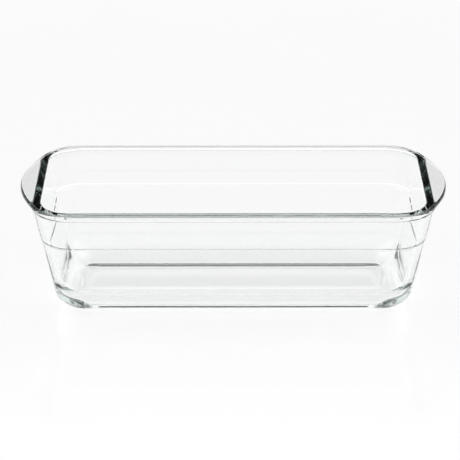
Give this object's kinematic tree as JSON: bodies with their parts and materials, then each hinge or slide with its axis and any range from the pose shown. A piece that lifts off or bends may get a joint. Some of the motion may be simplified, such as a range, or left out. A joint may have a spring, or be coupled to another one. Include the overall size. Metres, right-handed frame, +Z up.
{
  "type": "glass loaf dish",
  "caption": "Clear pressed-glass loaf dish, a deep tapered rectangular basin with a stepped wall and a flat rim that widens into a bow-shaped grip at each end.",
  "frame": {"origin": "centre of the flat base, at the bottom", "axes": "+X along the dish towards one grip, +Y across it, +Z up out of the basin"},
  "size_m": [0.3, 0.1224, 0.0842],
  "materials": {
    "clear_glass": "clear, fire-polished, faint green through its thickness"
  },
  "bodies": {
    "root": {"dish": "clear_glass"}
  },
  "joints": []
}
